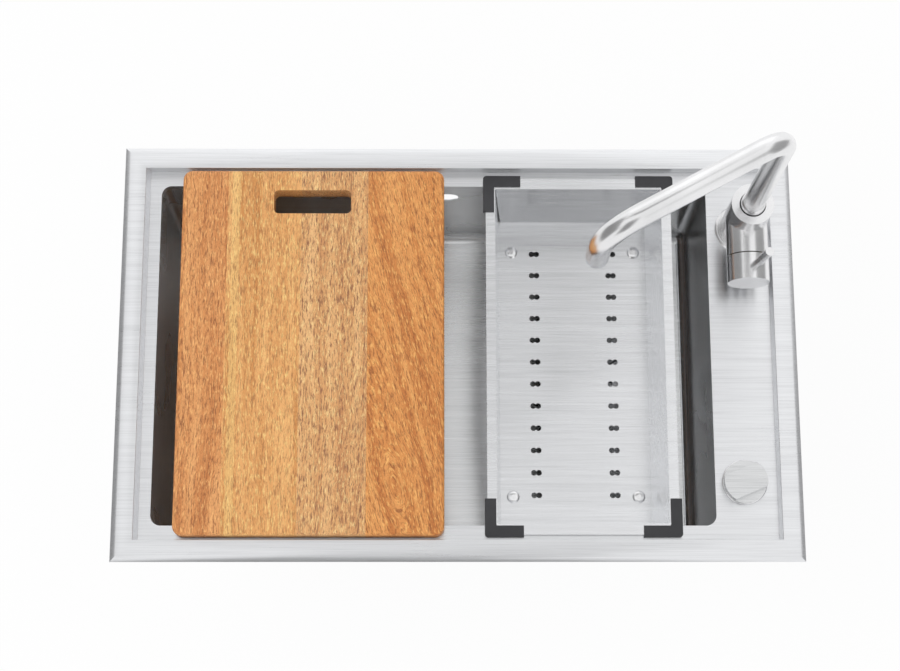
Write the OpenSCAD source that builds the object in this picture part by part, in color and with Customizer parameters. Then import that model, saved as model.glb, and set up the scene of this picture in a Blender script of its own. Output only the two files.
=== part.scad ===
// Workstation kitchen sink: a drop-in steel bowl with a stepped ledge that carries a
// sliding board and a sliding tray, a swivel tap and a turning drain control on its deck.
// Millimetres. X runs to the right, Y to the back, Z up. The origin is the centre of the
// rim, on the plane where the rim rests on the countertop.

/* [Rim and ledge] */
// Width of the rim, left to right
rim_w = 800; // [760:5:860]
// Depth of the rim, front to back
rim_d = 500; // [480:5:540]
// Height of the rim above the countertop
rim_h = 3; // [2:0.5:5]
// Width of the bevel round the rim
bevel_w = 7; // [3:0.5:10]
// Width of the flat rail between the rim's edge and the ledge recess
rail_w = 26; // [20:1:34]
// Depth of the ledge recess below the top of the rim
recess_h = 15; // [12:1:22]
// How far the left step leans in from top to bottom
left_lean = 4; // [0:0.5:6]
// How far the right step leans in from top to bottom
right_lean = 2; // [0:0.5:3.5]
// Thickness of the bowl and ledge sheet
sheet_t = 1.2; // [0.8:0.1:2]

/* [Bowl] */
// Width of the front and back ledges
ledge_w = 18; // [16:1:24]
// Width of the left ledge, lean included
left_ledge_w = 17.5; // [12:0.5:30]
// Width of the deck on the right, lean included
deck_w = 74; // [72:1:90]
// Depth of the bowl below the ledge
bowl_h = 205; // [190:5:240]
// Radius of the bowl's upright corners and of the curve into the floor
bowl_r = 12; // [8:1:20]
// Fall of the creased floor towards the drain
floor_fall = 4; // [2:0.5:6]
// Thickness of the damping pads
pad_t = 2.5; // [1.5:0.5:4]

/* [Drain] */
// Distance from the right bowl wall to the middle of the drain
drain_inset = 75; // [72:1:120]
// Radius of the drain flange
drain_flange_r = 56; // [52:1:58]
// Inner radius of the drain cup
cup_r = 42.8; // [38:0.2:44]
// Depth of the drain cup
cup_h = 58; // [52:1:70]
// Outer radius of the waste tailpipe
tail_r = 19; // [16:0.5:20]
// Length of the waste tailpipe below the drain spigot
tail_h = 70; // [50:5:120]
// How far the basket rises when the control is turned
basket_lift = 10; // [6:1:14]

/* [Overflow slot] */
// Length of the overflow slot
slot_w = 60; // [40:2:70]
// Width of the back wall's middle panel on each side of the slot
panel_edge = 35; // [20:1:60]
// Height of the overflow slot
slot_h = 24; // [16:1:26]
// Depth of the slot's middle below the ledge
slot_drop = 42; // [36:1:60]

/* [Board] */
// Gap between the board and the tray
middle_gap = 50; // [44:1:70]
// Thickness of the cutting board
board_t = 25; // [18:1:32]
// Gap between the left bowl wall and the board
board_gap = 28.5; // [22:0.5:30]
// Clearance between the board and the front step
board_front = 3.5; // [2:0.5:6]
// Clearance between the board and the back step
board_back = 6; // [2:0.5:8]
// Corner radius of the board
board_r = 11; // [8:1:20]
// Radius of the rounded board edges
board_edge = 4; // [2:0.5:5]
// Width of the hand slot
hand_w = 92; // [80:1:110]
// Height of the hand slot
hand_d = 29; // [24:1:34]
// Distance from the back edge of the board to the hand slot
hand_back = 25; // [20:1:40]

/* [Tray] */
// Width of the tray over its flange
tray_w = 223; // [200:1:224]
// Gap between the right bowl wall and the tray flange
tray_gap = 43; // [42:1:50]
// Depth of the tray below its flange
tray_h = 110; // [80:2:130]
// Width of the tray flange
tray_lip = 10.5; // [9:0.5:12]
// Lean of the tray walls from top to bottom
tray_lean = 8; // [4:0.5:12]
// Thickness of the tray sheet
tray_t = 1; // [0.8:0.1:1.5]
// Number of hole rows in the tray floor
hole_rows = 12; // [6:1:12]
// Distance between hole rows
hole_pitch = 27.8; // [24:0.2:28]
// Distance between the two hole columns
hole_cols = 96; // [60:1:110]
// Length of the bumper legs along the flange
bumper_leg = 45; // [30:1:55]

/* [Tap] */
// Distance from the right step to the tap's axis
tap_inset = 34.4; // [34:0.2:40]
// Distance from the back step to the tap's axis
tap_back = 71.4; // [60:0.2:90]
// Radius of the tap body
tap_r = 24.5; // [22:0.5:25]
// Height of the tap body above the deck
tap_h = 100; // [94:1:120]
// Height of the valve's axis above the deck
valve_h = 50; // [44:1:52]
// Distance from the tap's axis to the split between valve and cap
valve_reach = 48.6; // [46:0.2:60]
// Length of the handle cap
cap_l = 31; // [28:0.5:40]
// Radius of the lever pin
pin_r = 5; // [4:0.5:6]
// Length of the lever pin above the cap
pin_l = 62; // [40:1:80]
// Angle at which the lever leans to the right at rest
pin_lean = 7; // [0:1:20]
// Angle the lever tilts forward when the tap is opened
lever_tilt = 20; // [10:1:20]

/* [Spout] */
// Outer radius of the spout pipe
pipe_r = 12.5; // [11:0.5:13]
// Wall of the spout pipe
pipe_wall = 1.2; // [1:0.1:2]
// Height of the spout's level run above the deck
spout_h = 328; // [240:2:360]
// Radius of the first bend, on the pipe's middle line
bend_r1 = 32; // [26:1:50]
// Length of the straight level run
run_l = 144.5; // [100:0.5:200]
// Radius of the outlet bend, on the pipe's middle line
bend_r2 = 45; // [30:1:60]
// Length of the straight outlet end
tip_l = 30; // [16:1:60]
// Direction of the spout at rest, turned from the left towards the front
spout_turn = 28.6; // [0:0.2:90]

/* [Drain control] */
// Distance from the right step to the middle of the control
knob_inset = 40; // [36:1:42]
// Distance from the front step to the middle of the control
knob_front = 68.5; // [50:0.5:120]
// Radius of the control's base ring
knob_r = 26.5; // [22:0.5:28]
// Height of the control above its base ring
knob_h = 11; // [8:0.5:16]
// Width of the control's grip across its flats
grip_w = 30.6; // [20:0.2:36]
// Angle of the grip at rest
grip_turn = 23; // [0:1:90]

/* [Countertop clips] */
// Thickness of the countertop that the clips grip
counter_t = 30; // [20:1:40]
// Length of the clip screws
clip_screw_l = 28; // [24:1:40]

/* [Hidden] */
$fn = 64;
EPS = 1;              // how far a cutter runs past the face it cuts
FLUSH = 0.02;         // gap round a part that is pressed or screwed in place
RUN = 0.05;           // radial running clearance of a shaft in its bore
CLEAR = 0.3;          // clearance between pieces that move past each other
REST = 0.1;           // gap under a piece that slides on the ledge

recess_x = rim_w / 2 - rail_w;
recess_y = rim_d / 2 - rail_w;
ledge_z = rim_h - recess_h;
under_z = ledge_z - sheet_t;
bowl_x0 = -recess_x + left_ledge_w;
bowl_x1 = recess_x - deck_w;
bowl_y = recess_y - ledge_w;
bowl_mid = (bowl_x0 + bowl_x1) / 2;
floor_z = ledge_z - bowl_h;

pad_low = 45;
pad_top = 30;
pad_gap = 45;
pad_front = 220;
pad_left = 140;
pad_right = 60;

drain_x = bowl_x1 - drain_inset;
dish_r = drain_flange_r + 2;
dish_z = floor_z - floor_fall - 1;
flange_t = 1.5;
cup_t = 1.2;
cup_out = cup_r + cup_t;
cup_bottom = dish_z - cup_h;
spigot_h = 24;
spigot_bottom = cup_bottom - spigot_h;
spigot_in = tail_r - 2.5;
spigot_r = tail_r + 1;
guide_seat = 1;       // width of the lip that carries the guide inside the spigot
tail_nut_h = 24;
tail_thick = 0.5;     // how much thicker the tailpipe is inside its nut
tail_bead = 3;
tail_groove = 1;
gasket_t = 3;
locknut_h = 12;
guide_r = 3.5;
guide_h = 4;
basket_r = cup_r - 1.3;
basket_top = dish_z + flange_t - 2;
seal_h = 4;
basket_h = basket_top - (cup_bottom + cup_t + CLEAR + seal_h);
basket_wall_r = basket_r - 4;
basket_t = 1;
stem_low = cup_bottom - guide_h - basket_lift - 2;   // the stem stays in its guide when the basket is up

panel_half = slot_w / 2 + panel_edge;
slot_z = ledge_z - slot_drop;
back_out = bowl_y + sheet_t;

tray_x1 = bowl_x1 - tray_gap;
tray_x0 = tray_x1 - tray_w;
tray_mid = (tray_x0 + tray_x1) / 2;
tray_off = -1;        // the tray lies a little to the front of the middle
bumper_t = 2;
tray_y = recess_y - 8;
lip_z = ledge_z + REST + bumper_t;
tray_wall_x = tray_w / 2 - tray_lip;
tray_wall_y = bowl_y - 2.2;
tray_floor_z = lip_z - tray_h;
bumper_over = 3;
bumper_r = 4;
hole_r = 3.5;
hole_step = 6.1;
rivet_r = 7.8;
rivet_x = tray_w * 0.344;
rivet_y = tray_y * 0.717;
slit_top = 0.7;       // width of a corner's open slit under the flange
slit_low = 1.8;       // and at the tray's floor
slit_over = 0.4;      // how far the slit's cutter passes the sheet's faces
foot_h = 6;

board_x0 = bowl_x0 + board_gap;
board_x1 = tray_x0 - middle_gap;
board_w = board_x1 - board_x0;
board_y0 = -recess_y + board_front;
board_y1 = recess_y - board_back;
board_z = ledge_z + REST;
hand_x = (board_x0 + board_x1) / 2 - 1;
hand_y = board_y1 - hand_back - hand_d / 2;
hand_r = 6;
stave_cuts = [0, 0.175, 0.455, 0.71, 1];   // shares of the board's width where staves meet

tap_x = recess_x - tap_inset;
tap_y = recess_y - tap_back;
tap_top = ledge_z + tap_h;
valve_z = ledge_z + valve_h;
split_y = tap_y - valve_reach;
pivot_y = split_y - 6;
split_gap = 1.2;
cap_back = split_y - split_gap;
cap_front = cap_back - cap_l;
cap_hollow_r = 18;
dome_r = cap_hollow_r - 0.5;
cap_hollow_l = 15.5;
ear_w = 5.5;
neck_w = 8;
ear_r = 4.2;
cross_pin_r = 2.5;
cart_r = 18;
cart_nut_r = 21.5;
cart_nut_l = 8;
cart_l = 36;
carrier_r = 12;
pin_y = cap_back - 17.5;
stud_r = 3;
flange_h = 5;
collar_r = 14.2;
top_hole_r = 15.3;
top_hole_h = 26;
stem_r = 11;
bush_h = 21;
shank_r = 15;
shank_in = 11;
shank_l = 52;
deck_hole_r = 17.5;
inlet_r = 4.5;
inlet_off = 5.1;
inlet_l = 110;
stiff_t = 2;
stiff_in = 2;
stiff_front = 50;
stiff_back = 45;
spout_z = ledge_z + spout_h;
aerator_l = 9;

knob_x = recess_x - knob_inset;
knob_y = -recess_y + knob_front;
ring_h = 4;
grip_r = knob_r - 1.3;
shaft_r = 4;
knob_bush_r = 10;
knob_hole_r = 11;
knob_bush_l = 22;
box_h = 24;
box_r = 22;

strip_t = 1;
strip_w = 8;
strip_in = 4;
clip_in = 5;
clip_out = 12;
hook_w = 28;
hook_d = 8;
hook_h = 14;
hook_slot = 16;
arm_w = 14;
arm_t = 2;
arm_reach = 12;
clip_screw_r = 2.5;
clip_screw_x = clip_out + 4;
clip_pad_r = 6;
clip_head_h = 4;
clip_at_x = 0.62;     // share of the half width at which the front and back clips sit
clip_at_y = 0.35;     // share of the half depth at which the side clips sit

STEEL = [0.78, 0.79, 0.80];
SATIN = [0.72, 0.73, 0.74];
PLASTIC = [0.93, 0.93, 0.92];
RUBBER = [0.13, 0.13, 0.14];
BLACK = [0.2, 0.2, 0.21];

// ---------- shared shapes ----------

module box2(x0, x1, y0, y1, z0, z1) {
    translate([x0, y0, z0]) cube([x1 - x0, y1 - y0, z1 - z0]);
}

// Upright block with round corners, between two corners in plan
module round_block(x0, x1, y0, y1, z0, z1, r) {
    translate([0, 0, z0]) linear_extrude(z1 - z0) round_outline(x0, x1, y0, y1, r);
}

module round_outline(x0, x1, y0, y1, r) {
    union() {
        translate([x0 + r, y0]) square([x1 - x0 - 2 * r, y1 - y0]);
        translate([x0, y0 + r]) square([x1 - x0, y1 - y0 - 2 * r]);
        for (x = [x0 + r, x1 - r], y = [y0 + r, y1 - r]) {
            translate([x, y]) circle(r);
        }
    }
}

// Flat ring or tube along Z
module ring(r_out, r_in, z0, z1) {
    translate([0, 0, z0]) difference() {
        cylinder(r = r_out, h = z1 - z0);
        translate([0, 0, -EPS]) cylinder(r = r_in, h = z1 - z0 + 2 * EPS);
    }
}

// Cylinder along Y from y0 to y1, about the valve's axis
module valve_cyl(r, y0, y1) {
    translate([tap_x, y1, valve_z]) rotate([90, 0, 0]) cylinder(r = r, h = y1 - y0);
}

// Turns what belongs to the lever to its resting lean about the valve's axis
module leaned() {
    translate([tap_x, 0, valve_z]) rotate([0, pin_lean, 0]) children();
}

module at_tap() { translate([tap_x, tap_y, 0]) children(); }
module at_drain() { translate([drain_x, 0, 0]) children(); }
module at_knob() { translate([knob_x, knob_y, 0]) children(); }

// ---------- sink ----------

// Rim plate with its mitred bevel, and the upright and leaning walls of the recess
module rim_frame() {
    color(STEEL) difference() {
        union() {
            intersection() {
                rotate([90, 0, 0]) translate([0, 0, -rim_d]) linear_extrude(2 * rim_d)
                    polygon(bevel_outline(rim_w / 2));
                rotate([90, 0, 90]) translate([0, 0, -rim_w]) linear_extrude(2 * rim_w)
                    polygon(bevel_outline(rim_d / 2));
            }
            box2(-recess_x - sheet_t, recess_x + sheet_t, -recess_y - sheet_t, recess_y + sheet_t,
                ledge_z, rim_h - sheet_t);
        }
        rotate([90, 0, 0]) translate([0, 0, -recess_y]) linear_extrude(2 * recess_y)
            polygon(recess_outline());
        rotate([90, 0, 0]) translate([0, 0, -rim_d]) linear_extrude(2 * rim_d) {
            polygon(step_back(-1, left_lean));
            polygon(step_back(1, right_lean));
        }
    }
}

function bevel_outline(half) = [
    [-half, 0], [half, 0], [half - bevel_w, rim_h], [-half + bevel_w, rim_h]
];

// Cross-section of the recess: its side steps lean in, and the cut runs past both faces
function recess_outline() = [
    [-recess_x - EPS * left_lean / recess_h, rim_h + EPS],
    [-recess_x + left_lean * (recess_h + EPS) / recess_h, ledge_z - EPS],
    [recess_x - right_lean * (recess_h + EPS) / recess_h, ledge_z - EPS],
    [recess_x + EPS * right_lean / recess_h, rim_h + EPS]
];

// Wedge cut from behind a leaning step, so that the step is one sheet thick below the rim
function step_back(side, lean) = [
    [side * (recess_x + sheet_t + EPS), 0],
    [side * (recess_x + sheet_t - lean * rim_h / recess_h), 0],
    [side * (recess_x + sheet_t - lean), ledge_z],
    [side * (recess_x + sheet_t - lean), ledge_z - EPS],
    [side * (recess_x + sheet_t + EPS), ledge_z - EPS]
];

// Ledges on three sides and the deck on the right, with the bowl opening and the deck holes
module ledge_deck() {
    color(STEEL) difference() {
        box2(-recess_x - sheet_t, recess_x + sheet_t, -recess_y - sheet_t, recess_y + sheet_t,
            under_z, ledge_z);
        round_block(bowl_x0, bowl_x1, -bowl_y, bowl_y, under_z - EPS, ledge_z + EPS, bowl_r);
        at_tap() translate([0, 0, under_z - EPS]) cylinder(r = deck_hole_r, h = sheet_t + 2 * EPS);
        at_knob() translate([0, 0, under_z - EPS]) cylinder(r = knob_hole_r, h = sheet_t + 2 * EPS);
    }
}

// Plate under the deck that carries the tap
module deck_stiffener() {
    x0 = bowl_x1 + sheet_t + stiff_in;
    x1 = recess_x - right_lean - stiff_in;
    color(STEEL) difference() {
        box2(x0, x1, tap_y - stiff_front, tap_y + stiff_back, under_z - stiff_t, under_z);
        at_tap() translate([0, 0, under_z - stiff_t - EPS]) cylinder(r = deck_hole_r, h = stiff_t + 2 * EPS);
    }
}

// Upright walls of the bowl, with the overflow slot
module bowl_walls() {
    color(STEEL) difference() {
        round_block(bowl_x0 - sheet_t, bowl_x1 + sheet_t, -bowl_y - sheet_t, bowl_y + sheet_t,
            floor_z + bowl_r, under_z, bowl_r + sheet_t);
        round_block(bowl_x0, bowl_x1, -bowl_y, bowl_y, floor_z + bowl_r - EPS, under_z + EPS, bowl_r);
        box2(bowl_mid - panel_half, bowl_mid + panel_half, bowl_y - EPS, back_out + EPS,
            floor_z + bowl_r - EPS, under_z + EPS);
    }
}

// Middle of the bowl's back wall, with the overflow slot
module overflow_panel() {
    color(STEEL) difference() {
        box2(bowl_mid - panel_half, bowl_mid + panel_half, bowl_y, back_out, floor_z + bowl_r, under_z);
        slot_cut(bowl_y - EPS, back_out + EPS, 0);
    }
}

// The overflow slot's shape with a margin, cut along Y
module slot_cut(y0, y1, margin) {
    r = slot_h / 2 + margin;
    translate([bowl_mid, y1, slot_z]) rotate([90, 0, 0]) linear_extrude(y1 - y0) union() {
        translate([-(slot_w - slot_h) / 2, -r]) square([slot_w - slot_h, 2 * r]);
        for (s = [-1, 1]) {
            translate([s * (slot_w - slot_h) / 2, 0]) circle(r);
        }
    }
}

// Solid whose lower edges and corners are rounded by the radius r, up to z1
module pan_solid(x0, x1, y0, y1, z0, z1, r) {
    hull() for (x = [x0 + r, x1 - r], y = [y0 + r, y1 - r]) {
        translate([x, y, z0 + r]) rotate_extrude($fn = 32) union() {
            intersection() {
                circle(r, $fn = 32);
                translate([0, -r]) square(r);
            }
            square([r, z1 - z0 - r]);
        }
    }
}

// Shallow upturned pyramid whose edges are the floor's creases, on a low plinth that
// reaches into the sheet above it
module floor_pyramid(drop, inset) {
    x0 = bowl_x0 + inset;
    x1 = bowl_x1 - inset;
    y1 = bowl_y - inset;
    plinth = 0.5;
    polyhedron(
        points = [
            [x0, -y1, plinth], [x1, -y1, plinth], [x1, y1, plinth], [x0, y1, plinth],
            [x0, -y1, 0], [x1, -y1, 0], [x1, y1, 0], [x0, y1, 0],
            [drain_x, 0, -drop]
        ],
        faces = [
            [3, 2, 1, 0], [0, 1, 5, 4], [1, 2, 6, 5], [2, 3, 7, 6], [3, 0, 4, 7],
            [4, 5, 8], [5, 6, 8], [6, 7, 8], [7, 4, 8]
        ]
    );
}

// Floor of the bowl, rounded into the walls, creased towards the drain's dish
module bowl_floor() {
    inset = bowl_r;
    color(STEEL) difference() {
        union() {
            difference() {
                pan_solid(bowl_x0 - sheet_t, bowl_x1 + sheet_t, -bowl_y - sheet_t, bowl_y + sheet_t,
                    floor_z - sheet_t, floor_z + bowl_r, bowl_r + sheet_t);
                pan_solid(bowl_x0, bowl_x1, -bowl_y, bowl_y, floor_z, floor_z + bowl_r + EPS, bowl_r);
            }
            translate([0, 0, floor_z - sheet_t]) floor_pyramid(floor_fall, inset);
            at_drain() translate([0, 0, dish_z - sheet_t])
                cylinder(r = dish_r + sheet_t, h = floor_z - dish_z);
        }
        translate([0, 0, floor_z]) floor_pyramid(floor_fall, inset);
        at_drain() translate([0, 0, dish_z]) cylinder(r = dish_r, h = floor_z - dish_z + EPS);
        at_drain() translate([0, 0, dish_z - sheet_t - EPS])
            cylinder(r = cup_out + FLUSH, h = sheet_t + 2 * EPS);
    }
}

// Pads stuck to the outside of the front, back, left and right walls
module damping_pads() {
    z0 = floor_z + pad_low;
    z1 = under_z - pad_top;
    front = -bowl_y - sheet_t;
    left = bowl_x0 - sheet_t;
    right = bowl_x1 + sheet_t;
    near = slot_w / 2 + pad_gap;
    far = (bowl_x1 - bowl_x0) / 2 - pad_gap;
    color([0.45, 0.46, 0.47]) {
        box2(bowl_mid - pad_front, bowl_mid + pad_front, front - pad_t, front, z0, z1);
        box2(bowl_mid - far, bowl_mid - near, back_out, back_out + pad_t, z0, z1);
        box2(bowl_mid + near, bowl_mid + far, back_out, back_out + pad_t, z0, z1);
        box2(left - pad_t, left, -pad_left, pad_left, z0, z1);
        box2(right, right + pad_t, -pad_right, pad_right, z0, z1);
    }
}

// Foam strip under the rim
module rim_gasket() {
    out_x = rim_w / 2 - strip_in;
    out_y = rim_d / 2 - strip_in;
    in_x = out_x - strip_w;
    in_y = out_y - strip_w;
    color([0.3, 0.3, 0.31]) difference() {
        box2(-out_x, out_x, -out_y, out_y, -strip_t, 0);
        box2(-in_x, in_x, -in_y, in_y, -strip_t - EPS, EPS);
    }
}

// Places the clips round the bowl, two to a side, with their outward side along +X
module at_clips() {
    for (s = [-1, 1], t = [-1, 1]) {
        translate([t * recess_x * clip_at_x, s * (recess_y - clip_in), 0])
            rotate([0, 0, s * 90]) children();
        translate([s * (recess_x - clip_in), t * recess_y * clip_at_y, 0])
            rotate([0, 0, 90 - s * 90]) children();
    }
}

// Folded hooks welded under the ledge
module clip_brackets() {
    color(STEEL) at_clips() difference() {
        box2(-arm_t, hook_d - arm_t, -hook_w / 2, hook_w / 2, under_z - hook_h, under_z);
        box2(-EPS - arm_t, hook_d - 2 * arm_t, -hook_slot / 2, hook_slot / 2,
            under_z - hook_h + 3, under_z - 3);
    }
}

// Bent arms that hook into the brackets and reach under the countertop
module clip_arms() {
    z0 = -counter_t - clip_screw_l / 2;
    z1 = under_z - hook_h + 6;
    color([0.66, 0.67, 0.69]) at_clips() difference() {
        union() {
            box2(-2 * arm_t, hook_d - 2 * arm_t - FLUSH, -arm_w / 2, arm_w / 2, z1 - arm_t, z1);
            box2(-3 * arm_t, -2 * arm_t, -arm_w / 2, arm_w / 2, z0, z1);
            box2(-3 * arm_t, arm_reach + clip_out, -arm_w / 2, arm_w / 2, z0 - arm_t, z0);
        }
        translate([clip_screw_x, 0, z0 - arm_t - EPS])
            cylinder(r = clip_screw_r + FLUSH, h = arm_t + 2 * EPS);
    }
}

// Clamping screws with their flat pads against the countertop
module clip_screws() {
    top = -counter_t;
    foot = top - clip_screw_l;
    color([0.7, 0.71, 0.73]) at_clips() translate([clip_screw_x, 0, 0]) union() {
        translate([0, 0, top - arm_t]) cylinder(r = clip_pad_r, h = arm_t);
        translate([0, 0, foot]) cylinder(r = clip_screw_r, h = clip_screw_l - arm_t);
        translate([0, 0, foot - clip_head_h]) cylinder(r = 2 * clip_screw_r, h = clip_head_h, $fn = 6);
    }
}

// ---------- drain ----------

// Drain cup with its flange
module drain_body() {
    color(STEEL) at_drain() difference() {
        union() {
            translate([0, 0, dish_z]) cylinder(r = drain_flange_r, h = flange_t);
            translate([0, 0, cup_bottom]) cylinder(r = cup_out, h = cup_h + EPS / 2);
        }
        translate([0, 0, cup_bottom + cup_t]) cylinder(r = cup_r, h = cup_h + 2 * EPS);
        translate([0, 0, cup_bottom - EPS]) cylinder(r = spigot_r + FLUSH, h = cup_t + 2 * EPS);
    }
}

// Spigot welded into the cup's bottom, wider inside at the top for the guide
module drain_spigot() {
    color(STEEL) at_drain() difference() {
        translate([0, 0, spigot_bottom]) cylinder(r = spigot_r, h = spigot_h + cup_t);
        translate([0, 0, spigot_bottom - EPS]) cylinder(r = spigot_in, h = spigot_h + cup_t + 2 * EPS);
        translate([0, 0, cup_bottom - guide_h])
            cylinder(r = spigot_in + guide_seat, h = guide_h + cup_t + EPS);
    }
}

// Cross in the spigot that guides the basket's stem
module drain_guide() {
    color(STEEL) at_drain() translate([0, 0, cup_bottom - guide_h]) difference() {
        union() {
            cylinder(r = guide_r + 3, h = guide_h);
            intersection() {
                cylinder(r = spigot_in + guide_seat - FLUSH, h = guide_h);
                union() {
                    box2(-tail_r, tail_r, -cup_t, cup_t, 0, guide_h);
                    box2(-cup_t, cup_t, -tail_r, tail_r, 0, guide_h);
                }
            }
        }
        translate([0, 0, -EPS]) cylinder(r = guide_r + RUN, h = guide_h + 2 * EPS);
    }
}

module drain_gasket() {
    color(RUBBER) at_drain()
        ring(drain_flange_r, cup_out + FLUSH, dish_z - sheet_t - gasket_t, dish_z - sheet_t);
}

module drain_locknut() {
    z1 = dish_z - sheet_t - gasket_t;
    color(PLASTIC) at_drain() union() {
        ring(drain_flange_r - 2, cup_out + FLUSH, z1 - locknut_h, z1);
        for (a = [0 : 45 : 315]) {
            rotate([0, 0, a]) box2(drain_flange_r - 3, drain_flange_r + 2, -3, 3, z1 - locknut_h, z1);
        }
    }
}

// Coupling nut between the spigot and the tailpipe
module tail_nut() {
    z0 = spigot_bottom - tail_nut_h / 2;
    color(PLASTIC) at_drain() difference() {
        translate([0, 0, z0]) cylinder(r = tail_r + 7, h = tail_nut_h, $fn = 12);
        translate([0, 0, z0 - EPS]) cylinder(r = tail_r + tail_thick + FLUSH, h = tail_nut_h);
        translate([0, 0, spigot_bottom - tail_bead]) cylinder(r = spigot_r + FLUSH, h = tail_nut_h);
    }
}

// Waste tailpipe that the trap is pushed on to: a bead and a thicker end held by the nut,
// then a groove, then the free end
module tailpipe() {
    z0 = spigot_bottom - tail_h;
    seat = spigot_bottom - tail_nut_h / 2 - 1;
    color(PLASTIC) at_drain() difference() {
        union() {
            translate([0, 0, z0]) cylinder(r = tail_r, h = seat - tail_groove - z0);
            translate([0, 0, seat - 2 * tail_groove]) cylinder(r = tail_r - 0.4, h = 3 * tail_groove);
            translate([0, 0, seat]) cylinder(r = tail_r + tail_thick, h = spigot_bottom - seat);
            translate([0, 0, spigot_bottom - tail_bead]) cylinder(r = spigot_r, h = tail_bead);
        }
        translate([0, 0, z0 - EPS]) cylinder(r = spigot_in, h = tail_h + 2 * EPS);
    }
}

// Gland for the control cable, on the side of the cup
module drain_cable_gland() {
    z = cup_bottom + 12;
    color(BLACK) at_drain() rotate([0, 0, -70]) difference() {
        union() {
            translate([cup_out - 2, 0, z]) rotate([0, 90, 0]) cylinder(r = 8, h = 10);
            translate([cup_out + 8, 0, z]) rotate([0, 90, 0]) cylinder(r = 5, h = 12);
        }
        translate([0, 0, z - 20]) cylinder(r = cup_out + FLUSH, h = 40);
        translate([cup_out + 4, 0, z]) rotate([0, 90, 0]) cylinder(r = 2, h = 20);
    }
}

// Lift-out basket with its drain holes
module basket_cup() {
    z0 = basket_top - basket_h;
    color(STEEL) at_drain() difference() {
        translate([0, 0, z0]) union() {
            cylinder(r = basket_wall_r, h = basket_h);
            translate([0, 0, basket_h - 2]) cylinder(r = basket_r, h = 2);
        }
        translate([0, 0, z0 + basket_t]) cylinder(r = basket_wall_r - basket_t, h = basket_h);
        translate([0, 0, z0 - EPS]) {
            cylinder(r = guide_r + FLUSH, h = basket_t + 2 * EPS);
            basket_holes(10, 12, 2);
            basket_holes(16, 28, 2.5);
        }
    }
}

// Round holes evenly spaced on a circle
module basket_holes(count, at_r, r) {
    for (n = [0 : count - 1]) {
        rotate([0, 0, n * 360 / count]) translate([at_r, 0, 0]) cylinder(r = r, h = basket_t + 2 * EPS);
    }
}

// Rubber disc under the basket that closes the spigot
module basket_seal() {
    z1 = basket_top - basket_h;
    color(RUBBER) at_drain() ring(tail_r + 3, guide_r + FLUSH, z1 - seal_h, z1);
}

// Guide stem with its finger knob
module basket_stem() {
    z1 = basket_top - 4;
    color(SATIN) at_drain() union() {
        translate([0, 0, stem_low]) cylinder(r = guide_r, h = z1 - stem_low);
        translate([0, 0, basket_top - basket_h + basket_t + FLUSH]) cylinder(r = 6, h = 3);
        translate([0, 0, z1 - 5]) cylinder(r = 9, h = 5);
    }
}

// ---------- board ----------

// The whole board: round corners in plan and rounded edges all round
module board_solid() {
    z1 = board_z + board_t;
    e = board_edge;
    difference() {
        hull() for (x = [board_x0 + board_r, board_x1 - board_r],
                y = [board_y0 + board_r, board_y1 - board_r]) {
            translate([x, y, board_z + e]) board_corner(e);
            translate([x, y, z1 - e]) board_corner(e);
        }
        round_block(hand_x - hand_w / 2, hand_x + hand_w / 2, hand_y - hand_d / 2, hand_y + hand_d / 2,
            board_z - EPS, z1 + EPS, hand_r);
    }
}

module board_corner(e) {
    rotate_extrude($fn = 28) intersection() {
        translate([board_r - e, 0]) circle(e, $fn = 20);
        translate([0, -board_r]) square([2 * board_r, 2 * board_r]);
    }
}

// One glued stave, cut from the board between two shares of its width
module stave(n) {
    x0 = n == 0 ? board_x0 - EPS : board_x0 + board_w * stave_cuts[n];
    x1 = n == 3 ? board_x1 + EPS : board_x0 + board_w * stave_cuts[n + 1];
    intersection() {
        board_solid();
        box2(x0, x1, board_y0 - EPS, board_y1 + EPS, board_z - EPS, board_z + board_t + EPS);
    }
}

module board_stave_1() { color([0.74, 0.42, 0.20]) stave(0); }
module board_stave_2() { color([0.82, 0.52, 0.26]) stave(1); }
module board_stave_3() { color([0.85, 0.58, 0.33]) stave(2); }
module board_stave_4() { color([0.72, 0.37, 0.17]) stave(3); }

// ---------- tray ----------

module at_tray() { translate([tray_mid, tray_off, 0]) children(); }

// Tapered block for the inside or the outside of the tray
module tray_block(grow, z0, z1) {
    top_x = tray_wall_x + grow;
    top_y = tray_wall_y + grow;
    low_x = top_x - tray_lean;
    low_y = top_y - tray_lean;
    hull() {
        box2(-top_x, top_x, -top_y, top_y, z1 - EPS, z1);
        box2(-low_x, low_x, -low_y, low_y, z0, z0 + EPS);
    }
}

// The open slit between the tray's left and back walls, turned into its outer side
module corner_slit() {
    top_z = lip_z - 1;
    low_z = tray_floor_z + tray_t + 1;
    hull() {
        slit_end(0, slit_top, top_z - EPS);
        slit_end(tray_lean, slit_low, low_z);
    }
}

module slit_end(lean, width, z) {
    x0 = -tray_wall_x + tray_t + lean - slit_over;
    y1 = tray_wall_y - lean + slit_over;
    box2(x0, x0 + slit_over + width, y1 - tray_t - 2 * slit_over, y1, z, z + EPS);
}

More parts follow.
